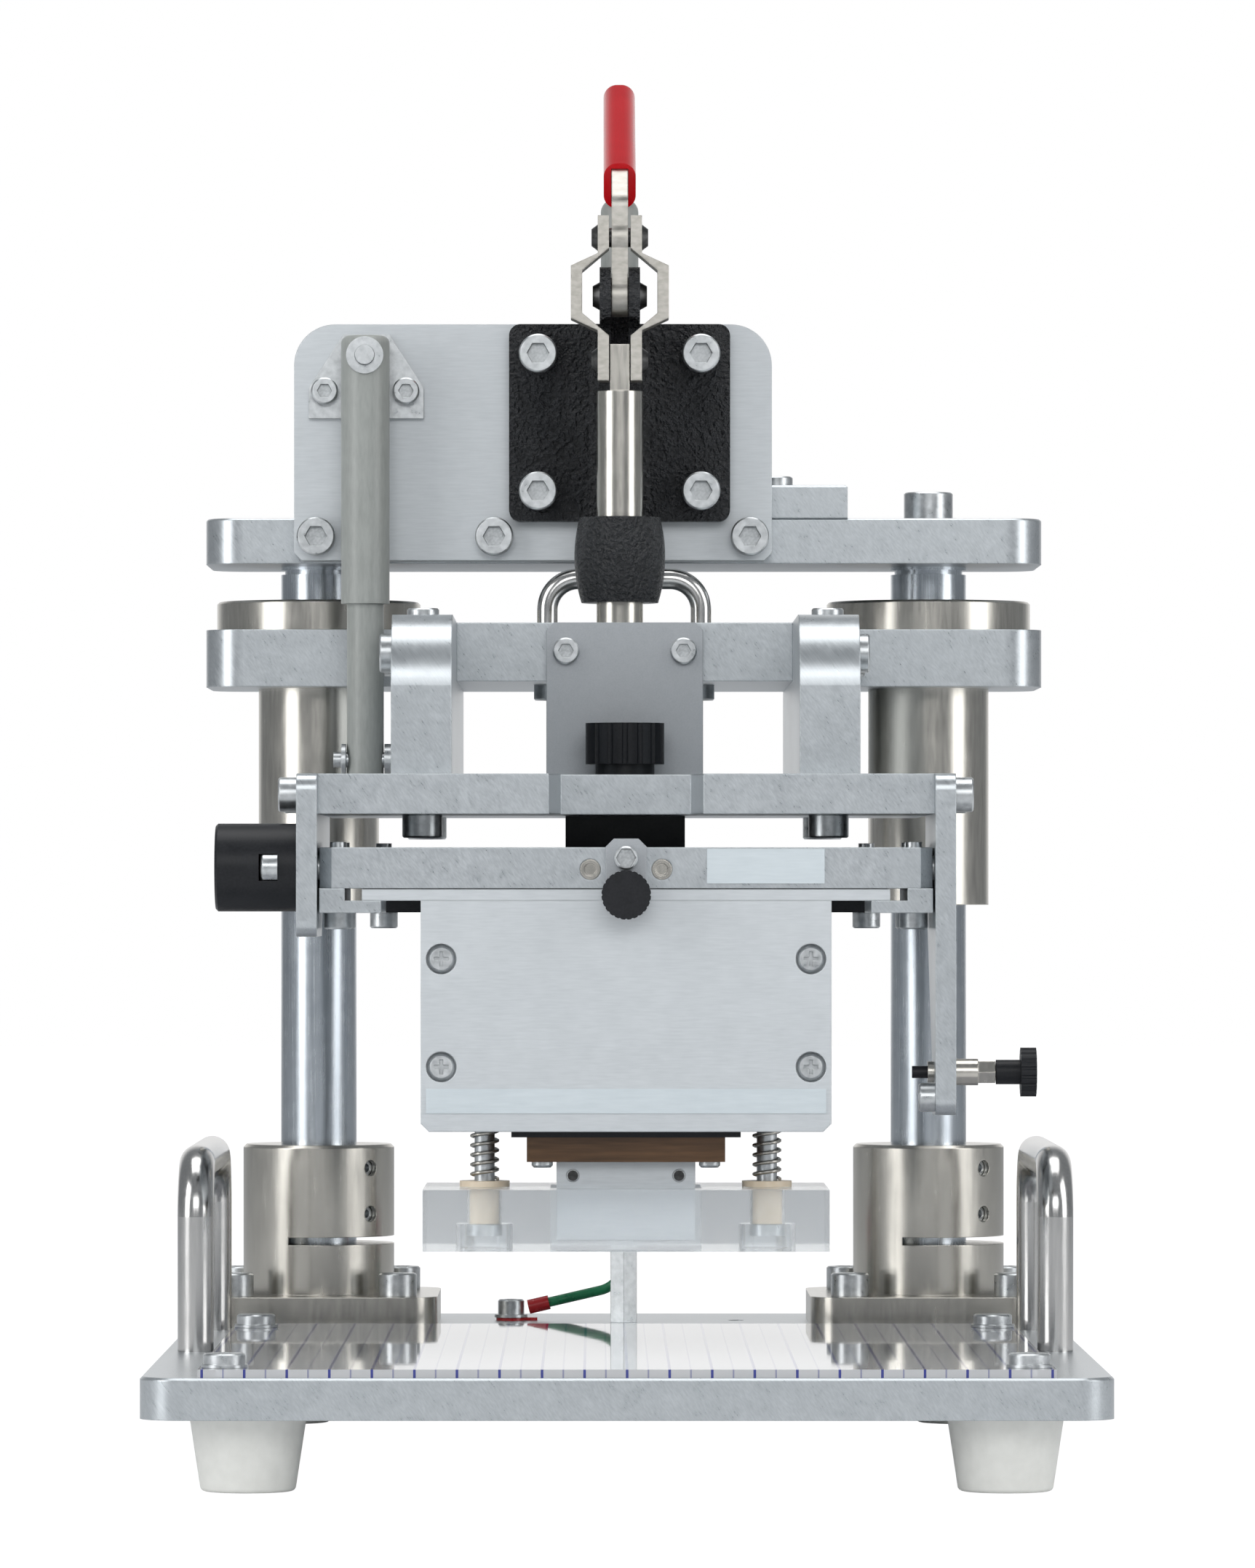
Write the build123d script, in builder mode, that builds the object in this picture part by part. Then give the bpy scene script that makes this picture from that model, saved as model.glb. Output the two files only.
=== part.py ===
from build123d import *
from math import atan2, degrees
import os

os.makedirs("parts", exist_ok=True)

LOW = (Align.CENTER, Align.CENTER, Align.MIN)
HIGH = (Align.CENTER, Align.CENTER, Align.MAX)

# Fits: radial play of a screw or a sliding pin in its hole
play = 0.05
seat_gap = 0.1

# Base, feet and stage sheet
base_width = 230
base_depth = 319
base_thick = 10
base_corner = 10
foot_height = 18
foot_top_radius = 14
foot_floor_radius = 11.25
foot_x = base_width / 2 - 25
foot_inset = 24
base_top = foot_height + base_thick
stage_width = base_width - 28
stage_thick = 2
stage_top = base_top + stage_thick
stage_inset = 1
post_y = base_depth / 2 - 49
stage_back = post_y - 48
stage_depth = stage_back + base_depth / 2 - stage_inset
stage_screw_x = stage_width / 2 - 6

# Guide posts and their split supports
post_x = base_width / 2 - 34
post_radius = 10
flange_size = 64
flange_thick = 8
collar_radius = 20
collar_top = 75.5
slit_low = 49.2
slit_width = 2
support_screw_offset = 21.5

# Fixed head: top plate, clamp plate and cast clamp body
head_low = 228.6
head_thick = 11.9
head_top = head_low + head_thick
head_width = 2 * post_x + 58
plate_depth = 60
plate_corner = 10
head_front = post_y - plate_depth / 2
clamp_plate_thick = 10
clamp_plate_left = -86.2
clamp_plate_right = 38.6
clamp_plate_low = 229
clamp_plate_top = 290.7
clamp_face = head_front - clamp_plate_thick
clamp_x = -1.2
plunger_y = post_y - 70
plunger_radius = 6
cast_low = 239
cast_top = 290.4
cast_width = 57.6
cast_thick = 6
cast_face = clamp_face - cast_thick
barrel_low = 216.9
barrel_top = 238.9
pivot_z = 296
crank = 15.1
link_length = 31.7
ear_half = 5.2
ear_radius = 7.5
lever_half = 2.1
clamp_pin_radius = 2.5

# Moving carriage
stroke = 24.5
carriage_low = 196.3
carriage_thick = 15
carriage_top = carriage_low + carriage_thick
carriage_width = head_width
nose_half = 43
nose_front = post_y - 87
bush_radius = 16
bush_flange_radius = 27
bush_flange_thick = 8
bush_low = 139
beam_half_inner = nose_half
beam_half_outer = 58
beam_front = post_y - 165
beam_low = 171.2
mount_thick = 9.8
mount_low = beam_low - mount_thick
mount_half = 75.2
mount_front = post_y - 193
mount_back = post_y - 68
side_thick = 5
side_outer = mount_half + side_thick
knob_y = post_y - 105

# Tilting holder, rails and test fixture
tilt_y = post_y - 187
tilt_z = 148.3
holder_low = 143.2
holder_thick = 10
holder_top = holder_low + holder_thick
holder_half = 74.7
holder_front = post_y - 196
holder_back = post_y - 111
rail_low = 137.2
lip_top = 140.2
rail_length = 53.5
index_drop = 50
case_half = 50
case_low = 83.9
case_front = holder_front + 0.2
fixture_y = post_y - 170
pin_x = 34.75
guide_radius = 2.5
foot_low = stage_top + stroke + 0.3
foot_thick = 15
foot_top_z = foot_low + foot_thick
lock_z = 150.6
lock_thick = 3


def facing(x, y, z, way):
    """Place with its head side turned to up, down, front, back, right or left."""
    turns = {
        "up": (0, 0, 0),
        "down": (180, 0, 0),
        "front": (90, 0, 0),
        "back": (-90, 0, 0),
        "right": (0, 90, 0),
        "left": (0, -90, 0),
    }
    return Location((x, y, z), turns[way])


def cap_screw(size, length, head_radius, head_high):
    """Socket head screw with its head standing on z = 0."""
    with BuildPart() as screw:
        Cylinder(head_radius, head_high, align=LOW)
        chamfer(screw.edges().group_by(Axis.Z)[-1], 0.4)
        with BuildSketch(Plane.XY.offset(head_high)):
            RegularPolygon(size * 0.42, 6, major_radius=False)
        extrude(amount=-head_high * 0.5, mode=Mode.SUBTRACT)
        Cylinder(size / 2, length, align=HIGH)
    return screw.part


def cross_screw(size, length, head_radius, head_high):
    """Pan head screw with a cross recess."""
    with BuildPart() as screw:
        Cylinder(head_radius, head_high, align=LOW)
        chamfer(screw.edges().group_by(Axis.Z)[-1], head_high * 0.35)
        with BuildSketch(Plane.XY.offset(head_high)):
            Rectangle(head_radius * 1.1, head_radius * 0.28)
            Rectangle(head_radius * 0.28, head_radius * 1.1)
        extrude(amount=-head_high * 0.5, mode=Mode.SUBTRACT)
        Cylinder(size / 2, length, align=HIGH)
    return screw.part


def drill(size, depth, places):
    """Screw holes going down from the seat of each head."""
    with Locations(*places):
        Cylinder(size / 2 + play, depth, align=HIGH, mode=Mode.SUBTRACT)


# Positions shared by screws and their holes
foot_places = [(x, y) for x in (-foot_x, foot_x)
               for y in (-base_depth / 2 + foot_inset, base_depth / 2 - foot_inset)]
foot_seats = [facing(x, y, 8, "down") for x, y in foot_places]
stage_spots = [(x, y) for x in (-stage_screw_x, stage_screw_x)
               for y in (-base_depth / 2 + 10, stage_back - 20)]
washer_high = 0.8
stage_seats = [facing(x, y, stage_top + washer_high, "up") for x, y in stage_spots]
support_spots = [(side * post_x + dx * support_screw_offset, post_y + dy * support_screw_offset)
                 for side in (-1, 1) for dx in (-1, 1) for dy in (-1, 1)]
support_top = base_top + flange_thick
support_seats = [facing(x, y, support_top, "up") for x, y in support_spots]
handle_x = base_width / 2 - 8
handle_legs = (post_y - 147, post_y - 40)
handle_top = 79
handle_radius = 4.5
post_seats = [facing(x, post_y, head_top, "up") for x in (-post_x, post_x)]
plate_seats = [facing(x, clamp_face, 235.2, "front") for x in (-80.4, -33.9, 32.8)]
cast_mid = (cast_low + cast_top) / 2
cast_seats = [facing(clamp_x + x, cast_face, cast_mid + z, "front")
              for x in (-21.2, 21.2) for z in (-17.9, 17.9)]
earth_x = -30
earth_y = post_y + 11
earth_seat = facing(earth_x, earth_y, base_top + 1.6, "up")

with BuildPart() as base_plate:
    with Locations((0, 0, foot_height)):
        Box(base_width, base_depth, base_thick, align=LOW)
    fillet(base_plate.edges().filter_by(Axis.Z), base_corner)
    chamfer(base_plate.edges().group_by(Axis.Z)[-1], 0.6)
    drill(4, 17.5, foot_seats)
    drill(4, 11, stage_seats)
    drill(6, 16, support_seats)
    with Locations(*[(x * handle_x, y, base_top) for x in (-1, 1) for y in handle_legs]):
        Cylinder(2 + play, base_thick, align=HIGH, mode=Mode.SUBTRACT)
    with Locations(*[(x * handle_x, y, foot_height) for x in (-1, 1) for y in handle_legs]):
        Cylinder(4, 4.4, align=LOW, mode=Mode.SUBTRACT)
    drill(4, 12, [earth_seat])
    with Locations((-earth_x, earth_y, base_top)):
        Cylinder(2.1, base_thick, align=HIGH, mode=Mode.SUBTRACT)
base_plate.part.label = "base_plate"
export_step(base_plate.part, "parts/base_plate.step")

with BuildPart() as feet:
    with Locations(*[(x, y, 0) for x, y in foot_places]):
        Cone(foot_floor_radius, foot_top_radius, foot_height, align=LOW)
    fillet(feet.edges().group_by(Axis.Z)[0], 1.2)
    with Locations(*[(x, y, 0) for x, y in foot_places]):
        Cylinder(2 + play, foot_height, align=LOW, mode=Mode.SUBTRACT)
        Cylinder(5, 8, align=LOW, mode=Mode.SUBTRACT)
feet.part.label = "feet"
export_step(feet.part, "parts/feet.step")

with BuildPart() as foot_screws:
    with Locations(*foot_seats):
        add(cap_screw(4, 17, 3.5, 4))

with BuildPart() as stage_sheet:
    with Locations((0, stage_back - stage_depth / 2, base_top)):
        Box(stage_width, stage_depth, stage_thick, align=LOW)
    drill(4, 20, stage_seats)
stage_sheet.part.label = "stage_sheet"
export_step(stage_sheet.part, "parts/stage_sheet.step")

with BuildPart() as stage_washers:
    with Locations(*[(x, y, stage_top) for x, y in stage_spots]):
        Cylinder(5.6, washer_high, align=LOW)
    drill(4, 20, stage_seats)

with BuildPart() as stage_screws:
    with Locations(*stage_seats):
        add(cap_screw(4, 10, 5, 2.6))

with BuildPart() as carry_handles:
    for x in (-handle_x, handle_x):
        front = handle_legs[0]
        back = handle_legs[1]
        tip = handle_top - handle_radius
        with BuildLine() as bend:
            FilletPolyline((x, front, base_top), (x, front, tip), (x, back, tip), (x, back, base_top),
                           radius=13)
        with BuildSketch(Plane((x, front, base_top), z_dir=(0, 0, 1))):
            Circle(handle_radius)
        sweep(path=bend.wires()[0])
    with Locations(*[(x * handle_x, y, base_top) for x in (-1, 1) for y in handle_legs]):
        Cylinder(2 + play, 12, align=LOW, mode=Mode.SUBTRACT)
carry_handles.part.label = "carry_handles"
export_step(carry_handles.part, "parts/carry_handles.step")

with BuildPart() as handle_screws:
    with Locations(*[facing(x * handle_x, y, foot_height + 4.4, "down")
                     for x in (-1, 1) for y in handle_legs]):
        add(cap_screw(4, 15, 3.5, 4))

# Each support is split by a level slit and locks on its post with two set screws
set_turn = 45
set_places = [(side * post_x, post_y, z) for side in (-1, 1) for z in (57.3, 69.4)]
with BuildPart() as post_supports:
    for side in (-1, 1):
        with BuildSketch(Plane.XY.offset(base_top)):
            with Locations((side * post_x, post_y)):
                RectangleRounded(flange_size, flange_size, 8.4)
        extrude(amount=flange_thick)
        with Locations((side * post_x, post_y, support_top)):
            Cylinder(collar_radius, collar_top - support_top, align=LOW)
    chamfer(post_supports.edges().group_by(Axis.Z)[-1], 0.8)
    for side in (-1, 1):
        with Locations((side * post_x, post_y, base_top)):
            Cylinder(post_radius + play, collar_top, align=LOW, mode=Mode.SUBTRACT)
        with Locations((side * post_x + 10, post_y, slit_low)):
            Box(35, 60, slit_width, align=LOW, mode=Mode.SUBTRACT)
    drill(6, 20, support_seats)
    with Locations(*[Location(spot, (90, set_turn, 0)) for spot in set_places]):
        Cylinder(2.1, collar_radius + 5, align=LOW, mode=Mode.SUBTRACT)
post_supports.part.label = "post_supports"
export_step(post_supports.part, "parts/post_supports.step")

with BuildPart() as support_set_screws:
    for spot in set_places:
        with Locations(Location(spot, (90, set_turn, 0))):
            with Locations((0, 0, post_radius + 0.3)):
                Cylinder(2, 8, align=LOW)
            with Locations((0, 0, post_radius + 8.3)):
                Cylinder(1.1, 2, align=HIGH, mode=Mode.SUBTRACT)

with BuildPart() as support_screws:
    with Locations(*support_seats):
        add(cap_screw(6, 14, 5, 6))

with BuildPart() as guide_posts:
    with Locations(*[(side * post_x, post_y, base_top) for side in (-1, 1)]):
        Cylinder(post_radius, head_low - base_top, align=LOW)
    with Locations(*[(side * post_x, post_y, head_low - 0.8) for side in (-1, 1)]):
        with Locations((0, 0, 0)):
            Cylinder(post_radius, 1.2, align=HIGH, mode=Mode.SUBTRACT)
            Cylinder(post_radius - 1, 1.2, align=HIGH)
    drill(8, 30, post_seats)
guide_posts.part.label = "guide_posts"
export_step(guide_posts.part, "parts/guide_posts.step")

with BuildPart() as top_plate:
    with BuildSketch(Plane.XY.offset(head_low)):
        with Locations((0, post_y)):
            RectangleRounded(head_width, plate_depth, plate_corner)
    extrude(amount=head_thick)
    chamfer(top_plate.edges().group_by(Axis.Z)[-1], 0.5)
    drill(8, 30, post_seats)
    drill(6, 24, plate_seats)
    with Locations(*[(x, post_y - 20, head_top) for x in (-40, 40)]):
        Cylinder(2.5 + play, 10, align=HIGH, mode=Mode.SUBTRACT)
top_plate.part.label = "top_plate"
export_step(top_plate.part, "parts/top_plate.step")

with BuildPart() as post_top_screws:
    with Locations(*post_seats):
        add(cap_screw(8, 28, 6.5, 8))

stay_gap = 9.3
stay_x = -beam_half_outer - stay_gap
bracket_seats = [facing(stay_x + x, clamp_face - 2, 273.1, "front") for x in (-10.8, 10.4)]
clamp_mid = (clamp_plate_left + clamp_plate_right) / 2
with BuildPart() as clamp_plate:
    with BuildSketch(Plane.XZ.offset(-head_front)):
        with Locations((clamp_mid, (clamp_plate_low + clamp_plate_top) / 2)):
            Rectangle(clamp_plate_right - clamp_plate_left, clamp_plate_top - clamp_plate_low)
    extrude(amount=clamp_plate_thick)
    fillet(clamp_plate.edges().filter_by(Axis.Y).group_by(Axis.Z)[-1], 10.7)
    chamfer(clamp_plate.edges().filter_by(Axis.Y).group_by(Axis.Z)[0], 2)
    drill(6, 12, plate_seats)
    drill(6, 15.4, cast_seats)
    drill(4, 12, bracket_seats)
clamp_plate.part.label = "clamp_plate"
export_step(clamp_plate.part, "parts/clamp_plate.step")

with BuildPart() as clamp_plate_screws:
    with Locations(*plate_seats):
        add(cap_screw(6, 22, 5, 5))

stiff_top = head_top + 8.7
stiff_seats = [facing(x, post_y - 20, stiff_top, "up") for x in (-40, 40)]
with BuildPart() as stiffener_block:
    with Locations((-0.65, post_y - 19.5, head_top)):
        Box(118.7, 21, stiff_top - head_top, align=LOW)
    chamfer(stiffener_block.edges().group_by(Axis.Z)[-1], 0.6)
    drill(5, 12, stiff_seats)
stiffener_block.part.label = "stiffener_block"
export_step(stiffener_block.part, "parts/stiffener_block.step")

with BuildPart() as stiffener_screws:
    with Locations(*stiff_seats):
        add(cap_screw(5, 17, 4.5, 2.6))

# Push-pull toggle clamp: cast body, crank lever, bowed link plates and plunger
with BuildPart() as clamp_body:
    with BuildSketch(Plane.XZ.offset(-clamp_face)):
        with Locations((clamp_x, cast_mid)):
            RectangleRounded(cast_width, cast_top - cast_low, 3)
    extrude(amount=cast_thick)
    with Locations((clamp_x, (cast_face + plunger_y + 8) / 2, cast_low)):
        Box(15.7, cast_face - plunger_y - 8, cast_top - cast_low - 1, align=LOW)
    with BuildSketch(Plane((clamp_x, plunger_y, 0), x_dir=(1, 0, 0), z_dir=(0, -1, 0))):
        with BuildLine():
            Polyline((0, barrel_low), (9.9, barrel_low))
            ThreePointArc((9.9, barrel_low), (11.7, 228), (10.4, barrel_top))
            Polyline((10.4, barrel_top), (0, barrel_top), (0, barrel_low))
        make_face()
    revolve(axis=Axis((clamp_x, plunger_y, 0), (0, 0, 1)))
    with Locations((clamp_x, plunger_y + 11, 231)):
        Box(15.7, 9, 12, align=LOW)
    with BuildSketch(Plane.YZ.offset(clamp_x - ear_half)):
        with Locations((plunger_y, pivot_z)):
            Circle(ear_radius)
        with Locations((plunger_y + 13, pivot_z - 1)):
            Rectangle(22, 13)
    extrude(amount=2 * ear_half)
    with BuildSketch(Plane.YZ.offset(clamp_x - lever_half - 0.2)):
        with Locations((plunger_y - 4, pivot_z)):
            Rectangle(27, 30)
    extrude(amount=2 * lever_half + 0.4, mode=Mode.SUBTRACT)
    with Locations((clamp_x, plunger_y, barrel_low)):
        Cylinder(plunger_radius + play, cast_top - barrel_low, align=LOW, mode=Mode.SUBTRACT)
    with Locations(facing(clamp_x, plunger_y, pivot_z, "right")):
        Cylinder(clamp_pin_radius + play, 30, mode=Mode.SUBTRACT)
    drill(6, 20, cast_seats)
clamp_body.part.label = "clamp_body"
export_step(clamp_body.part, "parts/clamp_body.step")

with BuildPart() as clamp_body_screws:
    with Locations(*cast_seats):
        add(cap_screw(6, 15, 5, 5))

with BuildPart() as clamp_pivot_pin:
    with Locations(facing(clamp_x, plunger_y, pivot_z, "right")):
        Cylinder(clamp_pin_radius, 2 * ear_half)
    for way in ("left", "right"):
        sign = 1 if way == "right" else -1
        with Locations(facing(clamp_x + sign * ear_half, plunger_y, pivot_z, way)):
            Cone(3.6, 2.6, 1.8, align=LOW)
clamp_pivot_pin.part.label = "clamp_pivot_pin"
export_step(clamp_pivot_pin.part, "parts/clamp_pivot_pin.step")

with BuildPart() as handle_stop:
    with Locations((clamp_x, plunger_y + 19, pivot_z + 5.5)):
        Cylinder(4.9, 21, align=LOW)
    fillet(handle_stop.edges().group_by(Axis.Z)[-1], 3.5)
handle_stop.part.label = "handle_stop"
export_step(handle_stop.part, "parts/handle_stop.step")

# Handle pin and grip lean, seen from the side with the clamp open
lean_start = (plunger_y, pivot_z + 23)
grip_start = (plunger_y + 7, 325)
grip_end = (plunger_y + 66, 351.6)
with BuildPart() as toggle_lever:
    with BuildSketch(Plane.YZ.offset(clamp_x - lever_half)):
        bar = [(plunger_y, pivot_z), lean_start, grip_start, (plunger_y + 55, 346.6)]
        for start, end in zip(bar[:-1], bar[1:]):
            reach = Vector(*end) - Vector(*start)
            middle = (Vector(*end) + Vector(*start)) / 2
            with Locations((middle.X, middle.Y)):
                SlotCenterToCenter(reach.length, 9.2, rotation=degrees(atan2(reach.Y, reach.X)))
        with Locations((plunger_y, pivot_z), (plunger_y, pivot_z + crank)):
            Circle(5.4)
    extrude(amount=2 * lever_half)
    with Locations(facing(clamp_x, plunger_y, pivot_z, "right"),
                   facing(clamp_x, plunger_y, pivot_z + crank, "right")):
        Cylinder(clamp_pin_radius + play, 30, mode=Mode.SUBTRACT)
toggle_lever.part.label = "toggle_lever"
export_step(toggle_lever.part, "parts/toggle_lever.step")

grip_plane = Plane(origin=(clamp_x, grip_start[0], grip_start[1]), x_dir=(1, 0, 0),
                   z_dir=(0, grip_end[0] - grip_start[0], grip_end[1] - grip_start[1]))
grip_length = 64.7
with BuildPart() as handle_grip:
    with BuildSketch(grip_plane):
        RectangleRounded(8.3, 12.4, 3.6)
    extrude(amount=grip_length)
    fillet(handle_grip.faces().sort_by(Axis.Y)[-1].edges(), 3)
    with BuildSketch(grip_plane):
        Rectangle(2 * lever_half + 0.2, 9.4)
    extrude(amount=grip_length - 6, mode=Mode.SUBTRACT)
handle_grip.part.label = "handle_grip"
export_step(handle_grip.part, "parts/handle_grip.step")

# Link plates bow outwards around the cast ears
pin_top = pivot_z + crank
pin_low = pin_top - link_length
link_thick = 2.9
link_inner = 2.8
bow_inner = 9.7
with BuildPart() as toggle_links:
    for side in (-1, 1):
        near = side * link_inner
        far = side * bow_inner
        with BuildSketch(Plane.XZ.offset(-(plunger_y + 5))):
            with BuildLine():
                Polyline((clamp_x + near, pin_top + 5.4), (clamp_x + near, pin_top - 3),
                         (clamp_x + far, pin_top - 8.8), (clamp_x + far, pin_top - 19.7),
                         (clamp_x + near, pin_top - 25.5), (clamp_x + near, pin_low - 5.4),
                         (clamp_x + near + side * link_thick, pin_low - 5.4),
                         (clamp_x + near + side * link_thick, pin_top - 24.2),
                         (clamp_x + far + side * link_thick, pin_top - 21),
                         (clamp_x + far + side * link_thick, pin_top - 7.5),
                         (clamp_x + near + side * link_thick, pin_top - 4.3),
                         (clamp_x + near + side * link_thick, pin_top + 5.4),
                         close=True)
            make_face()
        extrude(amount=10)
    with Locations(facing(clamp_x, plunger_y, pin_top, "right"),
                   facing(clamp_x, plunger_y, pin_low, "right")):
        Cylinder(clamp_pin_radius, 40, mode=Mode.SUBTRACT)
toggle_links.part.label = "toggle_links"
export_step(toggle_links.part, "parts/toggle_links.step")

with BuildPart() as link_rivets:
    with Locations(facing(clamp_x, plunger_y, pin_top, "right")):
        Cylinder(clamp_pin_radius - 0.02, 2 * (link_inner + link_thick))
    for side in (-1, 1):
        way = "right" if side > 0 else "left"
        face = clamp_x + side * (link_inner + link_thick)
        with Locations(facing(face, plunger_y, pin_top, way), facing(face, plunger_y, pin_low, way)):
            Cone(3.4, 2.2, 1.6, align=LOW)
        with Locations(facing(face - side * link_thick, plunger_y, pin_low, way)):
            Cylinder(clamp_pin_radius - 0.02, link_thick, align=LOW)
link_rivets.part.label = "link_rivets"
export_step(link_rivets.part, "parts/link_rivets.step")

with BuildPart() as plunger:
    with Locations((clamp_x, plunger_y, carriage_top)):
        Cylinder(5, 1.7, align=LOW)
        Cylinder(plunger_radius, pin_low - 8 - carriage_top, align=LOW)
        Box(5, 9, pin_low + 4 - carriage_top, align=LOW)
    with Locations((clamp_x, plunger_y, carriage_top)):
        Cylinder(4 + play, 20, align=LOW, mode=Mode.SUBTRACT)
plunger.part.label = "plunger"
export_step(plunger.part, "parts/plunger.step")

plunger_seat = facing(clamp_x, plunger_y, carriage_low + 5, "down")
with BuildPart() as plunger_screw:
    with Locations(plunger_seat):
        add(cap_screw(8, 28, 6.4, 4.8))

# Air stay on the left: bracket, outer tube on the head, inner tube on the carriage
stay_y = clamp_face - 11
stay_top = 281.6
stay_low = 176.7
with BuildPart() as stay_bracket:
    with BuildSketch(Plane.XZ.offset(-clamp_face)):
        with BuildLine():
            Polyline((stay_x - 15, 266), (stay_x + 15, 266), (stay_x + 15, 274), (stay_x + 6, 288),
                     (stay_x - 6, 288), (stay_x - 15, 274), close=True)
        make_face()
    extrude(amount=2)
    with Locations(facing(stay_x, clamp_face - 2, stay_top, "front")):
        Cylinder(4.2, 2.4, align=LOW)
        Cylinder(2.5, 17.6, align=LOW)
    drill(4, 12, bracket_seats)
stay_bracket.part.label = "stay_bracket"
export_step(stay_bracket.part, "parts/stay_bracket.step")

with BuildPart() as bracket_screws:
    with Locations(*bracket_seats):
        add(cap_screw(4, 11, 3.5, 3.2))

with BuildPart() as stay_tube:
    with Locations((stay_x, stay_y, 217.3)):
        Cylinder(6.3, 69.7, align=LOW)
    fillet(stay_tube.edges().group_by(Axis.Z)[-1], 2)
    with Locations((stay_x, stay_y, 217.3)):
        Cylinder(4.9, 55, align=LOW, mode=Mode.SUBTRACT)
    with Locations(facing(stay_x, stay_y, stay_top, "front")):
        Cylinder(2.5 + play, 20, mode=Mode.SUBTRACT)
stay_tube.part.label = "stay_tube"
export_step(stay_tube.part, "parts/stay_tube.step")

with BuildPart() as stay_washers:
    with Locations(facing(stay_x, stay_y - 6.3, stay_top, "front")):
        Cylinder(4.85, 0.8, align=LOW)
        Cylinder(2.5 + play, 3, align=LOW, mode=Mode.SUBTRACT)

with BuildPart() as stay_rod:
    with Locations((stay_x, stay_y, stay_low - 6)):
        Cylinder(4.8, 96, align=LOW)
    with Locations(facing(stay_x, stay_y, stay_low, "right")):
        Cylinder(2 + play, 20, mode=Mode.SUBTRACT)
stay_rod.part.label = "stay_rod"
export_step(stay_rod.part, "parts/stay_rod.step")

with BuildPart() as stay_pin:
    with Locations(facing(-beam_half_outer, stay_y, stay_low, "left")):
        Cylinder(4.2, stay_gap - 5, align=LOW)
        Cylinder(2, stay_gap + 8.3, align=LOW)
        Cylinder(2, 8, align=HIGH)
    with Locations(facing(stay_x - 5, stay_y, stay_low, "left")):
        Cylinder(4.2, 1.2, align=LOW)
stay_pin.part.label = "stay_pin"
export_step(stay_pin.part, "parts/stay_pin.step")

with BuildPart() as stop_pillar:
    with BuildSketch(Plane.XY.offset(base_top)):
        with Locations((0, post_y)):
            RegularPolygon(3.5, 6, major_radius=False, rotation=30)
    extrude(amount=carriage_low - stroke - 0.3 - base_top)
stop_pillar.part.label = "stop_pillar"
export_step(stop_pillar.part, "parts/stop_pillar.step")

# Moving carriage
bolt_ring = [(side * post_x + dx * 15.4, post_y + dy * 15.4)
             for side in (-1, 1) for dx in (-1, 1) for dy in (-1, 1)]
bush_top = carriage_top + bush_flange_thick
bush_seats = [facing(side * post_x + x, post_y + y, bush_top - 4.4, "up")
              for side in (-1, 1) for x, y in ((-21.5, 0), (21.5, 0), (0, -21.5), (0, 21.5))]
front_seats = [facing(x, nose_front - 5, 203.9, "front") for x in (-15, 15)]
beam_seats = [facing(side * beam_half_outer, post_y - y, 203.8, way)
              for side, way in ((-1, "left"), (1, "right")) for y in (37.5, 75)]
beam_caps = [facing(side * 50.5, post_y - 140, 211.4, "up") for side in (-1, 1)]
mount_seats = [facing(side * 50.5, post_y - y, mount_low, "down") for side in (-1, 1) for y in (90, 150)]
lift_places = [(x, post_y - 45) for x in (-20, 20)]
lift_seats = [facing(x, y, carriage_low, "down") for x, y in lift_places]
with BuildPart() as carriage_plate:
    with BuildSketch(Plane.XY.offset(carriage_low)):
        with Locations((0, post_y)):
            RectangleRounded(carriage_width, plate_depth, plate_corner)
        with Locations((0, (post_y + nose_front) / 2)):
            Rectangle(2 * nose_half, post_y - nose_front)
    extrude(amount=carriage_thick)
    with Locations(*[(side * post_x, post_y, carriage_low) for side in (-1, 1)]):
        Cylinder(bush_radius + play, carriage_thick, align=LOW, mode=Mode.SUBTRACT)
    drill(4, 14, bush_seats)
    drill(4, 16, front_seats)
    drill(6, 30, beam_seats)
    drill(4, 30, lift_seats)
    drill(8, 30, [plunger_seat])
    with Locations(plunger_seat):
        Cylinder(6.6, 6, align=LOW, mode=Mode.SUBTRACT)
carriage_plate.part.label = "carriage_plate"
export_step(carriage_plate.part, "parts/carriage_plate.step")

with BuildPart() as guide_bushes:
    with Locations(*[(side * post_x, post_y, bush_low) for side in (-1, 1)]):
        Cylinder(bush_radius, bush_top - bush_low, align=LOW)
    with Locations(*[(side * post_x, post_y, carriage_top) for side in (-1, 1)]):
        Cylinder(bush_flange_radius, bush_flange_thick, align=LOW)
    chamfer(guide_bushes.edges().group_by(Axis.Z)[-1], 0.6)
    with Locations(*[(side * post_x, post_y, bush_low) for side in (-1, 1)]):
        Cylinder(post_radius + play, 100, align=LOW, mode=Mode.SUBTRACT)
    drill(4, 14, bush_seats)
    with Locations(*bush_seats):
        Cylinder(3.7, 6, align=LOW, mode=Mode.SUBTRACT)
guide_bushes.part.label = "guide_bushes"
export_step(guide_bushes.part, "parts/guide_bushes.step")

with BuildPart() as bush_screws:
    with Locations(*bush_seats):
        add(cap_screw(4, 12, 3.5, 4))

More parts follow.
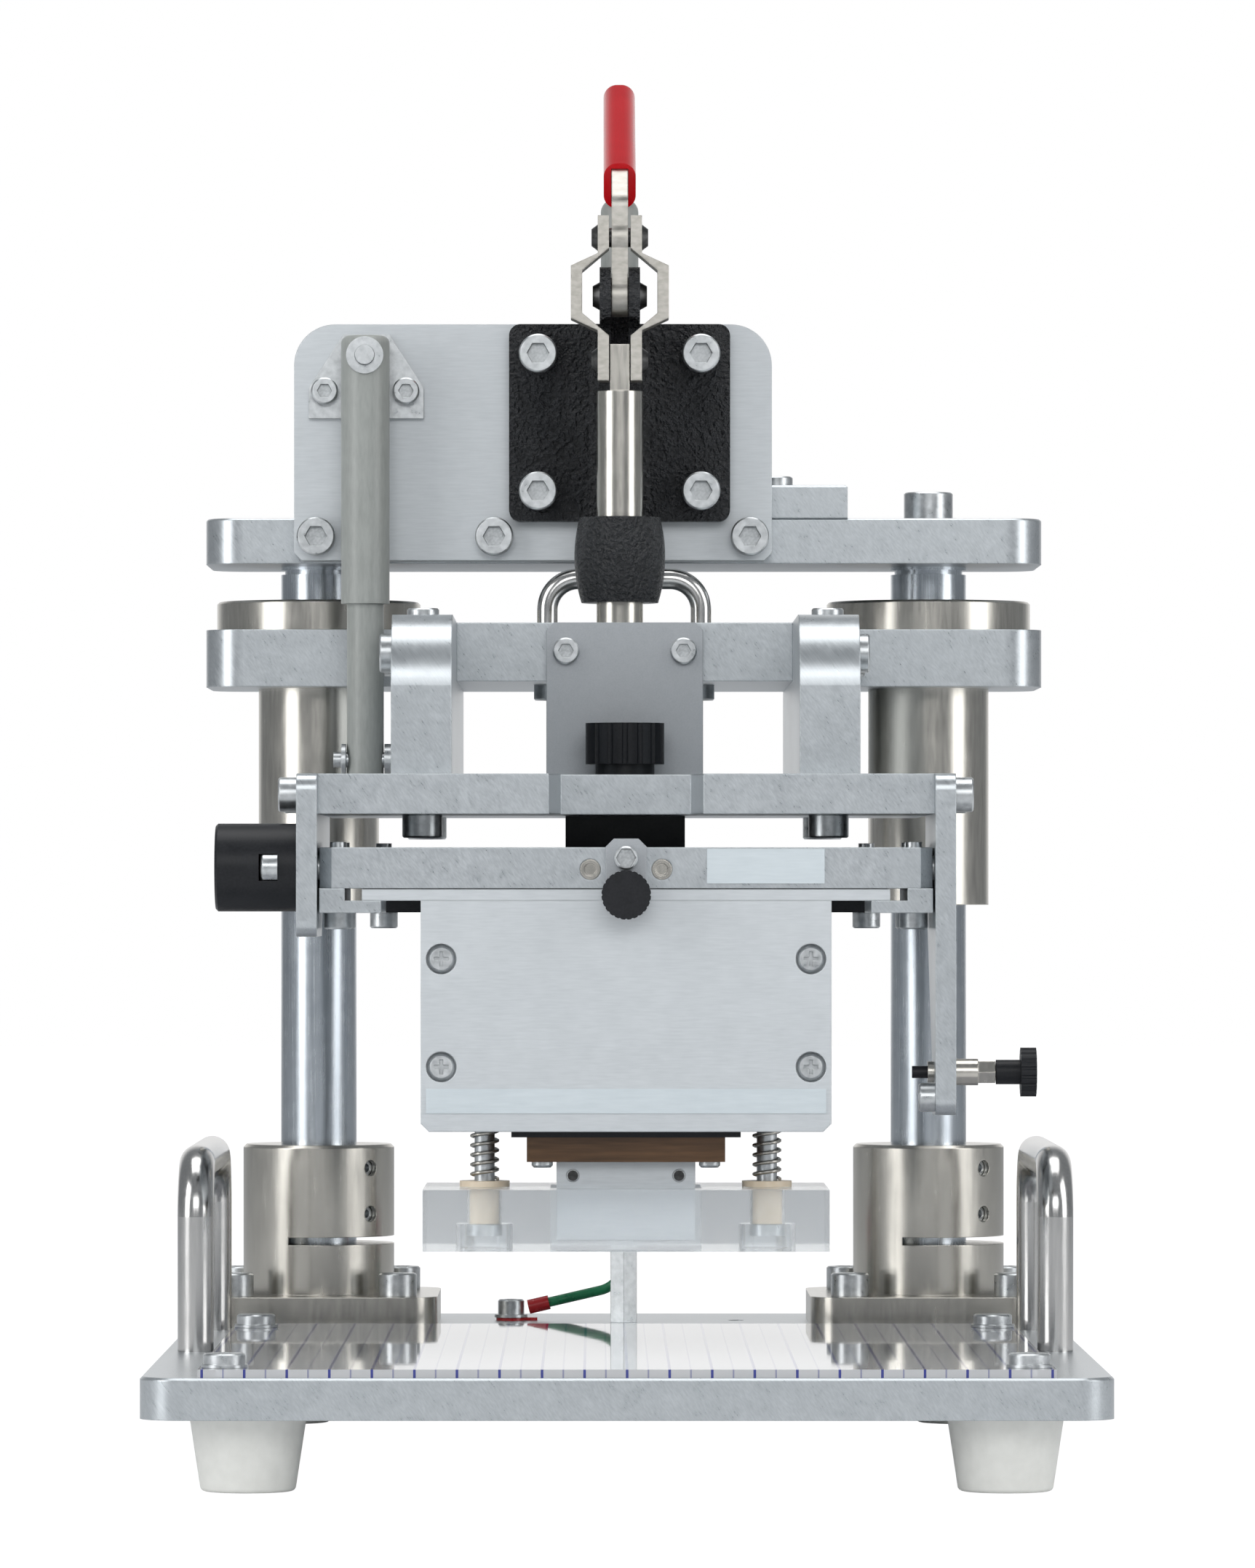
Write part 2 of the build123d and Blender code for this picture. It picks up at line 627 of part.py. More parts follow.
with BuildPart() as side_beams:
    for side in (-1, 1):
        left = beam_half_inner if side > 0 else -beam_half_outer
        with BuildSketch(Plane.YZ.offset(left)):
            with BuildLine():
                Polyline((head_front + plate_depth, beam_low), (beam_front, beam_low), (beam_front, 211.4),
                         (head_front - 0.3, 211.4), (head_front - 0.3, carriage_low),
                         (head_front + plate_depth, carriage_low), close=True)
            make_face()
        extrude(amount=beam_half_outer - beam_half_inner)
    front_edges = side_beams.edges().filter_by(Axis.X).group_by(Axis.Y)[0]
    fillet(front_edges.sort_by(Axis.Z)[-2:], 18)
    drill(6, 30, beam_seats)
    drill(4, 12, beam_caps)
    drill(6, 30, mount_seats)
    with Locations(facing(-beam_half_outer, stay_y, stay_low, "left")):
        Cylinder(2 + play, 8.2, align=HIGH, mode=Mode.SUBTRACT)
side_beams.part.label = "side_beams"
export_step(side_beams.part, "parts/side_beams.step")

with BuildPart() as beam_screws:
    with Locations(*beam_seats):
        add(cap_screw(6, 28, 5, 5))

with BuildPart() as beam_top_screws:
    with Locations(*beam_caps):
        add(cap_screw(4, 11, 4, 1.8))

with BuildPart() as front_plate:
    with Locations((0, nose_front - 2.5, beam_low)):
        Box(40, 5, 40, align=LOW)
    chamfer(front_plate.edges().filter_by(Axis.Y).group_by(Axis.Z)[-1], 2)
    drill(4, 16, front_seats)
front_plate.part.label = "front_plate"
export_step(front_plate.part, "parts/front_plate.step")

with BuildPart() as front_plate_screws:
    with Locations(*front_seats):
        add(cap_screw(4, 14, 3.4, 2.2))

block_seats = [facing(x, knob_y + 5, beam_low - 4.2, "up") for x in (-10, 10)]
side_seats = [facing(side * side_outer, post_y - y, 166.2, way)
              for side, way in ((-1, "left"), (1, "right")) for y in (180, 142)]
with BuildPart() as holder_mount_plate:
    with BuildSketch(Plane.XY.offset(mount_low)):
        with Locations((0, (mount_front + mount_back) / 2)):
            Rectangle(2 * mount_half, mount_back - mount_front)
        with BuildLine():
            Polyline((-19, mount_front - 1), (19, mount_front - 1), (16, mount_front + 18),
                     (-16, mount_front + 18), close=True)
        make_face(mode=Mode.SUBTRACT)
    extrude(amount=mount_thick)
    drill(6, 30, mount_seats)
    drill(4, 20, block_seats)
    with Locations(*block_seats):
        Cylinder(3.7, 6, align=LOW, mode=Mode.SUBTRACT)
    drill(5, 18, side_seats)
    with Locations((0, knob_y, mount_low)):
        Cylinder(2.5 + play, 20, align=LOW, mode=Mode.SUBTRACT)
holder_mount_plate.part.label = "holder_mount_plate"
export_step(holder_mount_plate.part, "parts/holder_mount_plate.step")

with BuildPart() as mount_screws:
    with Locations(*mount_seats):
        add(cap_screw(6, 24, 5, 5.6))

with BuildPart() as pressure_block:
    with Locations((0, knob_y, holder_top + 0.2)):
        Box(30, 46, mount_low - holder_top - 0.2, align=LOW)
        Cylinder(2.5 + play, 20, align=LOW, mode=Mode.SUBTRACT)
    drill(4, 12, block_seats)
pressure_block.part.label = "pressure_block"
export_step(pressure_block.part, "parts/pressure_block.step")

with BuildPart() as block_screws:
    with Locations(*block_seats):
        add(cap_screw(4, 11, 3.5, 4))

with BuildPart() as lock_knob:
    with Locations((0, knob_y, beam_low)):
        Cylinder(7.5, 3.6, align=LOW)
    with Locations((0, knob_y, beam_low + 3.6)):
        Cylinder(10, 10.4, align=LOW)
        with PolarLocations(10.4, 16):
            Cylinder(0.9, 10.4, align=LOW, mode=Mode.SUBTRACT)
    with Locations((0, knob_y, beam_low)):
        Cylinder(2.5, beam_low - holder_top - 1, align=HIGH)
lock_knob.part.label = "lock_knob"
export_step(lock_knob.part, "parts/lock_knob.step")

# Side plates carry the tilt pivots, the rotary damper and the index plunger
index_z = tilt_z - index_drop
with BuildPart() as side_plates:
    with BuildSketch(Plane.YZ.offset(-side_outer)):
        with BuildLine():
            Polyline((post_y - 200, 131.4), (post_y - 160, 131.4), (post_y - 140, 151), (post_y - 95, 151),
                     (post_y - 95, beam_low), (post_y - 200, beam_low), close=True)
        make_face()
    extrude(amount=side_thick)
    with BuildSketch(Plane.YZ.offset(mount_half)):
        with BuildLine():
            Polyline((post_y - 200, 88), (post_y - 175, 88), (post_y - 175, 102), (post_y - 133, 150),
                     (post_y - 133, beam_low), (post_y - 200, beam_low), close=True)
        make_face()
    extrude(amount=side_thick)
    fillet(side_plates.edges().filter_by(Axis.X).group_by(Axis.Y)[0], 4)
    drill(5, 18, side_seats)
    with Locations(facing(0, tilt_y, tilt_z, "right")):
        Cylinder(3 + play, 200, mode=Mode.SUBTRACT)
    with Locations(facing(mount_half, tilt_y, index_z, "right")):
        Cylinder(2.6 + play, 20, mode=Mode.SUBTRACT)
    with Locations(facing(mount_half, tilt_y - 8.7, index_z - 6, "right")):
        Cylinder(2 + play, 4.2, align=LOW, mode=Mode.SUBTRACT)
    with Locations(*[facing(-side_outer, tilt_y + y, tilt_z, "left") for y in (-8.5, 8.5)]):
        Cylinder(1.5 + play, 4.2, align=HIGH, mode=Mode.SUBTRACT)
side_plates.part.label = "side_plates"
export_step(side_plates.part, "parts/side_plates.step")

with BuildPart() as side_plate_screws:
    with Locations(*side_seats):
        add(cap_screw(5, 15, 4.25, 5))

with BuildPart() as tilt_pivots:
    for side, way in ((-1, "left"), (1, "right")):
        with Locations(facing(side * side_outer, tilt_y, tilt_z, way)):
            Cylinder(3, 17, align=HIGH)
tilt_pivots.part.label = "tilt_pivots"
export_step(tilt_pivots.part, "parts/tilt_pivots.step")

with BuildPart() as tilt_damper:
    with Locations(facing(-side_outer, tilt_y, tilt_z, "left")):
        Cylinder(10.75, 20, align=LOW)
    chamfer(tilt_damper.edges().group_by(Axis.X)[0], 0.6)
    with Locations(*[facing(-side_outer - 4.6, tilt_y + y, tilt_z, "left") for y in (-8.5, 8.5)]):
        Cylinder(3.7, 4.6, align=LOW, mode=Mode.SUBTRACT)
    with Locations(*[facing(-side_outer, tilt_y + y, tilt_z, "left") for y in (-8.5, 8.5)]):
        Cylinder(1.5 + play, 5, align=LOW, mode=Mode.SUBTRACT)
tilt_damper.part.label = "tilt_damper"
export_step(tilt_damper.part, "parts/tilt_damper.step")

with BuildPart() as damper_screws:
    with Locations(*[facing(-side_outer - 4.6, tilt_y + y, tilt_z, "left") for y in (-8.5, 8.5)]):
        add(cap_screw(3, 8.6, 3.5, 4))

with BuildPart() as index_body:
    with Locations(facing(mount_half - 1.5, tilt_y, index_z, "right")):
        Cylinder(2.6, 6.5, align=LOW)
    with Locations(facing(side_outer, tilt_y, index_z, "right")):
        Cylinder(3.25, 5.8, align=LOW)
    with BuildSketch(Plane.YZ.offset(side_outer + 5.8)):
        with Locations((tilt_y, index_z)):
            RegularPolygon(3.05, 6)
    extrude(amount=4.2)
    with Locations(facing(0, tilt_y, index_z, "right")):
        Cylinder(1.5 + play, 300, mode=Mode.SUBTRACT)
index_body.part.label = "index_body"
export_step(index_body.part, "parts/index_body.step")

with BuildPart() as index_pin:
    with Locations(facing(69.9, tilt_y, index_z, "right")):
        Cylinder(1.5, 24, align=LOW)
    with Locations(facing(side_outer + 10.2, tilt_y, index_z, "right")):
        Cylinder(3, 6, align=LOW)
    with Locations(facing(side_outer + 16.2, tilt_y, index_z, "right")):
        Cylinder(6, 3.8, align=LOW)
        with PolarLocations(6.2, 18):
            Cylinder(0.5, 3.8, align=LOW, mode=Mode.SUBTRACT)
index_pin.part.label = "index_pin"
export_step(index_pin.part, "parts/index_pin.step")

with BuildPart() as stop_screw:
    with Locations(facing(mount_half, tilt_y - 8.7, index_z - 6, "left")):
        add(cap_screw(4, 4, 3.5, 4))

with BuildPart() as lift_handle:
    lift_y = post_y - 45
    with BuildLine() as lift_bend:
        FilletPolyline((-20, lift_y, carriage_top), (-20, lift_y, 224), (20, lift_y, 224),
                       (20, lift_y, carriage_top), radius=8)
    with BuildSketch(Plane((-20, lift_y, carriage_top), z_dir=(0, 0, 1))):
        Circle(2.7)
    sweep(path=lift_bend.wires()[0])
    with Locations(*[(x, lift_y, carriage_top) for x in (-20, 20)]):
        Cylinder(2 + play, 4, align=LOW, mode=Mode.SUBTRACT)
lift_handle.part.label = "lift_handle"
export_step(lift_handle.part, "parts/lift_handle.step")

with BuildPart() as lift_handle_screws:
    with Locations(*lift_seats):
        add(cap_screw(4, 18.6, 3.5, 4))

# Tilting holder with its two L rails
rail_seats = [facing(side * 70.6, tilt_y + y, rail_low, "down") for side in (-1, 1) for y in (8, 38)]
bar_y = tilt_y + 67
bar_seats = [facing(side * 60.8, bar_y, rail_low, "down") for side in (-1, 1)]
lock_pivot = facing(0, holder_front - 0.1 - lock_thick, lock_z, "front")
with BuildPart() as holder_plate:
    with Locations((0, (holder_front + holder_back) / 2, holder_low)):
        Box(2 * holder_half, holder_back - holder_front, holder_thick, align=LOW)
    chamfer(holder_plate.edges().filter_by(Axis.Z).group_by(Axis.Y)[0], 3)
    drill(4, 30, rail_seats + bar_seats)
    with Locations(facing(-holder_half, tilt_y, tilt_z, "left"), facing(holder_half, tilt_y, tilt_z, "right")):
        Cylinder(3 + play, 12, align=HIGH, mode=Mode.SUBTRACT)
    with Locations((holder_half, tilt_y + index_drop, tilt_z + 3)):
        Box(10.4, 6, 20, align=HIGH, mode=Mode.SUBTRACT)
    drill(5, 12, [lock_pivot])
    with Locations(*[facing(x, holder_front, 147.8, "front") for x in (-8.7, 8.7)]):
        Cylinder(2.5 + play, 6, align=HIGH, mode=Mode.SUBTRACT)
holder_plate.part.label = "holder_plate"
export_step(holder_plate.part, "parts/holder_plate.step")

with BuildPart() as fixture_rails:
    for side in (-1, 1):
        with Locations((side * (holder_half + 68.5) / 2, holder_front + rail_length / 2, rail_low)):
            Box(holder_half - 68.5, rail_length, holder_low - rail_low, align=LOW)
        with Locations((side * 64.5, holder_front + rail_length / 2, rail_low)):
            Box(9.6, rail_length, lip_top - rail_low, align=LOW)
    drill(4, 30, rail_seats)
fixture_rails.part.label = "fixture_rails"
export_step(fixture_rails.part, "parts/fixture_rails.step")

with BuildPart() as rail_screws:
    with Locations(*(rail_seats + bar_seats)):
        add(cap_screw(4, 17.4, 3.5, 4))

with BuildPart() as rear_stop_bar:
    with Locations((0, bar_y, rail_low)):
        Box(132, 9.6, holder_low - rail_low, align=LOW)
    drill(4, 30, bar_seats)
rear_stop_bar.part.label = "rear_stop_bar"
export_step(rear_stop_bar.part, "parts/rear_stop_bar.step")

with BuildPart() as ball_plungers:
    with Locations(*[facing(x, holder_front, 147.8, "front") for x in (-8.7, 8.7)]):
        Cylinder(2.5, 6, align=HIGH)
        Cylinder(1.5, 0.6, align=HIGH, mode=Mode.SUBTRACT)
ball_plungers.part.label = "ball_plungers"
export_step(ball_plungers.part, "parts/ball_plungers.step")

with BuildPart() as labels:
    with Locations((34, holder_front, 148.6)):
        Box(28.6, 0.4, 8.4, align=(Align.CENTER, Align.MAX, Align.CENTER))
    with Locations((0, case_front, 91.4)):
        Box(97.4, 0.3, 6, align=(Align.CENTER, Align.MAX, Align.CENTER))
labels.part.label = "labels"
export_step(labels.part, "parts/labels.step")

with BuildPart() as lock_lever:
    with Locations((0, holder_front - 0.1, 139.6)):
        Box(10, lock_thick, 15.7, align=(Align.CENTER, Align.MAX, Align.MIN))
    chamfer(lock_lever.edges().filter_by(Axis.Y).group_by(Axis.Z)[-1], 2)
    drill(5, 12, [lock_pivot])
lock_lever.part.label = "lock_lever"
export_step(lock_lever.part, "parts/lock_lever.step")

with BuildPart() as lock_lever_knob:
    with Locations(facing(0, holder_front - 0.1 - lock_thick, 141.6, "front")):
        Cylinder(6, 9, align=LOW)
        with PolarLocations(6.2, 24):
            Cylinder(0.4, 9, align=LOW, mode=Mode.SUBTRACT)
lock_lever_knob.part.label = "lock_lever_knob"
export_step(lock_lever_knob.part, "parts/lock_lever_knob.step")

with BuildPart() as lock_screw:
    with Locations(lock_pivot):
        add(cap_screw(5, 11, 2.9, 2))

# Test fixture hanging in the rails
case_back = post_y - 142
case_seats = [facing(x, case_front + 2, z, "front") for x in (-45, 45) for z in (99.7, 126)]
with BuildPart() as fixture_flange:
    with Locations((0, (case_front + bar_y - 5) / 2, lip_top)):
        Box(128.6, bar_y - 5 - case_front, 2.8, align=LOW)
fixture_flange.part.label = "fixture_flange"
export_step(fixture_flange.part, "parts/fixture_flange.step")

pin_spots = [(side * pin_x, fixture_y) for side in (-1, 1)]
with BuildPart() as fixture_case:
    with Locations((0, (case_front + case_back) / 2, case_low)):
        Box(2 * case_half, case_back - case_front, lip_top - case_low, align=LOW)
    chamfer(fixture_case.edges().filter_by(Axis.Y).group_by(Axis.Z)[0], 2)
    with Locations(*case_seats):
        Cylinder(3.7, 6, align=LOW, mode=Mode.SUBTRACT)
    drill(3, 12, case_seats)
    with Locations(*[(x, y, case_low) for x, y in pin_spots]):
        Cylinder(guide_radius + play, 14, align=LOW, mode=Mode.SUBTRACT)
fixture_case.part.label = "fixture_case"
export_step(fixture_case.part, "parts/fixture_case.step")

with BuildPart() as case_screws:
    with Locations(*case_seats):
        add(cross_screw(3, 10, 3.3, 1.8))

with BuildPart() as insulator:
    with Locations((0, fixture_y, case_low)):
        Box(56, 40, 1.5, align=HIGH)
insulator.part.label = "insulator"
export_step(insulator.part, "parts/insulator.step")

carrier_seats = [facing(x, fixture_y - 12, 76.3, "down") for x in (-20.5, 20.5)]
with BuildPart() as probe_carrier:
    with Locations((0, fixture_y, case_low - 1.5)):
        Box(48.5, 34, case_low - 1.5 - 76.3, align=HIGH)
    drill(3, 5, carrier_seats)
probe_carrier.part.label = "probe_carrier"
export_step(probe_carrier.part, "parts/probe_carrier.step")

with BuildPart() as carrier_screws:
    with Locations(*carrier_seats):
        add(cross_screw(3, 4.6, 2.6, 1.5))

block_top = 76.3
probe_seats = [facing(x, fixture_y - 12, 72.8, "front") for x in (-13, 13)]
with BuildPart() as probe_block:
    with Locations((0, fixture_y, foot_low + 2.2)):
        Box(34, 24, block_top - foot_low - 2.2, align=LOW)
    drill(3, 9, probe_seats)
    with Locations(*probe_seats):
        Cylinder(1.5 + play, 9, mode=Mode.SUBTRACT)
probe_block.part.label = "probe_block"
export_step(probe_block.part, "parts/probe_block.step")

with BuildPart() as probe_screws:
    with Locations(*probe_seats):
        Cylinder(1.5, 4, align=HIGH)

with BuildPart() as guide_pins:
    with Locations(*[(x, y, foot_low + 3) for x, y in pin_spots]):
        Cylinder(guide_radius, case_low + 13.8 - foot_low - 3, align=LOW)
        Cylinder(5, 2.8, align=LOW)
guide_pins.part.label = "guide_pins"
export_step(guide_pins.part, "parts/guide_pins.step")

with BuildPart() as presser_foot:
    with Locations((0, fixture_y, foot_low)):
        Box(99, 56, foot_thick, align=LOW)
        Box(37, 27, foot_thick, align=LOW, mode=Mode.SUBTRACT)
    with Locations(*[(x, y, foot_low) for x, y in pin_spots]):
        Cylinder(4.3, foot_thick, align=LOW, mode=Mode.SUBTRACT)
        Cylinder(7, 6, align=LOW, mode=Mode.SUBTRACT)
presser_foot.part.label = "presser_foot"
export_step(presser_foot.part, "parts/presser_foot.step")

with BuildPart() as foot_bushes:
    with Locations(*[(x, y, foot_low + 6) for x, y in pin_spots]):
        Cylinder(4.25, foot_thick - 6, align=LOW)
    with Locations(*[(x, y, foot_top_z) for x, y in pin_spots]):
        Cylinder(6.15, 1.4, align=LOW)
    with Locations(*[(x, y, foot_low) for x, y in pin_spots]):
        Cylinder(guide_radius + play, 30, align=LOW, mode=Mode.SUBTRACT)
foot_bushes.part.label = "foot_bushes"
export_step(foot_bushes.part, "parts/foot_bushes.step")

spring_low = foot_top_z + 1.4
spring_high = case_low - spring_low
wire = 0.45
with BuildPart() as foot_springs:
    for x, y in pin_spots:
        with BuildLine() as coil:
            Helix((spring_high - 2 * wire) / 5, spring_high - 2 * wire, 3.2, center=(x, y, spring_low + wire))
        with BuildSketch(Plane(coil.line @ 0, z_dir=coil.line % 0)):
            RegularPolygon(wire, 6)
        sweep(path=coil.wires()[0], is_frenet=True)
foot_springs.part.label = "foot_springs"
export_step(foot_springs.part, "parts/foot_springs.step")

# Earth lead: ring terminal on the base, green lead up to the rear of the pillar
wire_radius = 1.3
lead_points = [(earth_x + 8.2, earth_y - 1, base_top + 4.4), (0, earth_y - 2, 37.5), (0, earth_y - 2, 47)]
print("earth lead bend radius 8 mm")
with BuildPart() as earth_lead:
    with BuildLine() as lead_path:
        FilletPolyline(*lead_points, radius=8)
    with BuildSketch(Plane(lead_path.wires()[0] @ 0, z_dir=lead_path.wires()[0] % 0)):
        Circle(wire_radius)
    sweep(path=lead_path.wires()[0])
earth_lead.part.label = "earth_lead"
export_step(earth_lead.part, "parts/earth_lead.step")

lug_dir = (lead_points[1][0] - lead_points[0][0], lead_points[1][1] - lead_points[0][1],
           lead_points[1][2] - lead_points[0][2])
with BuildPart() as earth_lugs:
    with Locations((earth_x, earth_y, base_top)):
        Cylinder(4, 0.8, align=LOW)
        with Locations((4, 0, 0)):
            Box(6, 4, 0.8, align=LOW)
    with BuildSketch(Plane(lead_points[0], z_dir=lug_dir)):
        Circle(1.9)
    extrude(amount=-3.6)
    with BuildSketch(Plane(lead_points[0], z_dir=lug_dir)):
        Circle(1.9)
        Circle(wire_radius + play, mode=Mode.SUBTRACT)
    extrude(amount=2)
    with Locations((earth_x, earth_y, base_top)):
        Cylinder(2 + play, 5, align=LOW, mode=Mode.SUBTRACT)
    with Locations((0, post_y + 4.05, 54)):
        Box(6, 0.8, 8, align=(Align.CENTER, Align.MIN, Align.CENTER))
    with Locations((0, lead_points[2][1], 47)):
        Cylinder(1.9, 7, align=LOW)
        Cylinder(1.9, 2, align=HIGH)
    with Locations((0, post_y + 6.9, 52.4)):
        Box(2.4, 5.2, 1.6)
    with Locations((0, lead_points[2][1], 47)):
        Cylinder(wire_radius + play, 6, align=HIGH, mode=Mode.SUBTRACT)
earth_lugs.part.label = "earth_lugs"
export_step(earth_lugs.part, "parts/earth_lugs.step")

with BuildPart() as earth_screw:
    with Locations(earth_seat):
        add(cap_screw(4, 10.4, 3.5, 4))
    with Locations((earth_x, earth_y, base_top + 0.8)):
        Cylinder(4.4, 0.8, align=LOW)

# Fasteners of one body and one finish share a group of separate solids
with BuildPart() as frame_cap_screws:
    add(support_screws.part)
    add(clamp_plate_screws.part)
    add(clamp_body_screws.part)
    add(post_top_screws.part)
frame_cap_screws.part.label = "frame_cap_screws"
export_step(frame_cap_screws.part, "parts/frame_cap_screws.step")

with BuildPart() as frame_small_screws:
    add(foot_screws.part)
    add(handle_screws.part)
    add(stage_screws.part)
    add(stage_washers.part)
    add(support_set_screws.part)
    add(stiffener_screws.part)
    add(bracket_screws.part)
    add(stay_washers.part)
    add(earth_screw.part)
frame_small_screws.part.label = "frame_small_screws"
export_step(frame_small_screws.part, "parts/frame_small_screws.step")

with BuildPart() as carriage_cap_screws:
    add(beam_screws.part)
    add(mount_screws.part)
    add(plunger_screw.part)
    add(side_plate_screws.part)
carriage_cap_screws.part.label = "carriage_cap_screws"
export_step(carriage_cap_screws.part, "parts/carriage_cap_screws.step")

with BuildPart() as carriage_small_screws:
    add(bush_screws.part)
    add(beam_top_screws.part)
    add(front_plate_screws.part)
    add(block_screws.part)
    add(lift_handle_screws.part)
    add(damper_screws.part)
    add(stop_screw.part)
carriage_small_screws.part.label = "carriage_small_screws"
export_step(carriage_small_screws.part, "parts/carriage_small_screws.step")

with BuildPart() as holder_screws:
    add(rail_screws.part)
    add(lock_screw.part)
holder_screws.part.label = "holder_screws"
export_step(holder_screws.part, "parts/holder_screws.step")

with BuildPart() as fixture_screws:
    add(case_screws.part)
    add(carrier_screws.part)
    add(probe_screws.part)
fixture_screws.part.label = "fixture_screws"
export_step(fixture_screws.part, "parts/fixture_screws.step")
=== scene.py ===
import math

import bpy
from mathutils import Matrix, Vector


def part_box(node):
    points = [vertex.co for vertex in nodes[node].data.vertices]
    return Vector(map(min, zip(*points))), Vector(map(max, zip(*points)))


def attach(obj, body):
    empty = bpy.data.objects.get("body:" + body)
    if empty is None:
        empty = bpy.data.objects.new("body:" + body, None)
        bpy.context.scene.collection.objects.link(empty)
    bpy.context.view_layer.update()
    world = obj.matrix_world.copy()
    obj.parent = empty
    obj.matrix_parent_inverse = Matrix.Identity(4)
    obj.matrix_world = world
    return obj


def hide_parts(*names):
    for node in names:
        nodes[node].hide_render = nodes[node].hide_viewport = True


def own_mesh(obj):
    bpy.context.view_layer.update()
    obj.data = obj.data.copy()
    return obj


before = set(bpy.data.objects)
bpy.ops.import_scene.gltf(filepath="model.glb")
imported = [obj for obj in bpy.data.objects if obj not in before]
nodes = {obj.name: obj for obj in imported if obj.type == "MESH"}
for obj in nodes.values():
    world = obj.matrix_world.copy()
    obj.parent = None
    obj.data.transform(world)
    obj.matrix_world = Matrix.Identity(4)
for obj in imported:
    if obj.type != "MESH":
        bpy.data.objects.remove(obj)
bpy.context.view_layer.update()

# Noise stays mostly between these two, so colour and roughness are spread over them
NOISE_LOW = 0.3
NOISE_HIGH = 0.7


class Shade:
    """A node material with a few helpers for procedural detail."""

    def __init__(self, name, color, metallic=0.0, rough=0.4):
        self.mat = bpy.data.materials.new(name)
        self.mat.use_nodes = True
        self.tree = self.mat.node_tree
        self.shader = self.tree.nodes["Principled BSDF"]
        self.set("Base Color", (*color, 1))
        self.set("Metallic", metallic)
        self.set("Roughness", rough)
        self.coords = self.tree.nodes.new("ShaderNodeTexCoord").outputs["Object"]

    def set(self, socket, value):
        self.shader.inputs[socket].default_value = value

    def link(self, a, b):
        self.tree.links.new(a, b)

    def noise(self, scale, stretch=(1, 1, 1), turn=(0, 0, 0), detail=4.0):
        """Noise in object space, turned first and then stretched into a grain."""
        lean = self.tree.nodes.new("ShaderNodeMapping")
        lean.inputs["Rotation"].default_value = turn
        self.link(self.coords, lean.inputs["Vector"])
        place = self.tree.nodes.new("ShaderNodeMapping")
        place.inputs["Scale"].default_value = stretch
        self.link(lean.outputs[0], place.inputs["Vector"])
        node = self.tree.nodes.new("ShaderNodeTexNoise")
        node.inputs["Scale"].default_value = scale
        node.inputs["Detail"].default_value = detail
        self.link(place.outputs[0], node.inputs["Vector"])
        return node.outputs["Fac"]

    def ramp(self, value, low, high):
        """A colour between low and high."""
        node = self.tree.nodes.new("ShaderNodeValToRGB")
        node.color_ramp.elements[0].position = NOISE_LOW
        node.color_ramp.elements[1].position = NOISE_HIGH
        node.color_ramp.elements[0].color = (*low, 1)
        node.color_ramp.elements[1].color = (*high, 1)
        self.link(value, node.inputs[0])
        return node.outputs[0]

    def span(self, value, low, high):
        """A number between low and high."""
        node = self.tree.nodes.new("ShaderNodeMapRange")
        node.inputs["From Min"].default_value = NOISE_LOW
        node.inputs["From Max"].default_value = NOISE_HIGH
        node.inputs["To Min"].default_value = low
        node.inputs["To Max"].default_value = high
        self.link(value, node.inputs["Value"])
        return node.outputs[0]

    def bump(self, value, strength, distance, edge=0.0):
        """Relief from value, on edges that look rounded by the radius edge."""
        node = self.tree.nodes.new("ShaderNodeBump")
        node.inputs["Strength"].default_value = strength
        node.inputs["Distance"].default_value = distance
        self.link(value, node.inputs["Height"])
        if edge:
            round_off = self.tree.nodes.new("ShaderNodeBevel")
            round_off.samples = 4
            round_off.inputs["Radius"].default_value = edge
            self.link(round_off.outputs[0], node.inputs["Normal"])
        self.link(node.outputs[0], self.shader.inputs["Normal"])

    def math(self, kind, a, b):
        """a and b are sockets or numbers."""
        node = self.tree.nodes.new("ShaderNodeMath")
        node.operation = kind
        for socket, value in zip(node.inputs, (a, b)):
            if hasattr(value, "links"):
                self.link(value, socket)
            else:
                socket.default_value = value
        return node.outputs[0]

    def mix(self, factor, below, color):
        """The socket below where factor is 0, and color where it is 1."""
        node = self.tree.nodes.new("ShaderNodeMix")
        node.data_type = "RGBA"
        self.link(factor, node.inputs["Factor"])
        self.link(below, node.inputs[6])
        node.inputs[7].default_value = (*color, 1)
        return node.outputs[2]


def surface(name, low, high, metallic, rough, scale, stretch=(1, 1, 1), turn=(0, 0, 0),
            bump=0.1, depth=1e-5, edge=0.0):
    """Colour, roughness and relief that vary together along one grain."""
    s = Shade(name, high, metallic, rough[1])
    grain = s.noise(scale, stretch, turn)
    cloud = s.noise(scale * 0.13, (1, 1, 1), detail=2.0)
    both = s.math("ADD", s.math("MULTIPLY", grain, 0.7), s.math("MULTIPLY", cloud, 0.3))
    s.link(s.ramp(both, low, high), s.shader.inputs["Base Color"])
    s.link(s.span(both, rough[0], rough[1]), s.shader.inputs["Roughness"])
    s.bump(grain, bump, depth, edge)
    return s


def paint(shade, *names):
    for name in names:
        mesh = nodes[name].data
        mesh.materials.clear()
        mesh.materials.append(shade.mat)


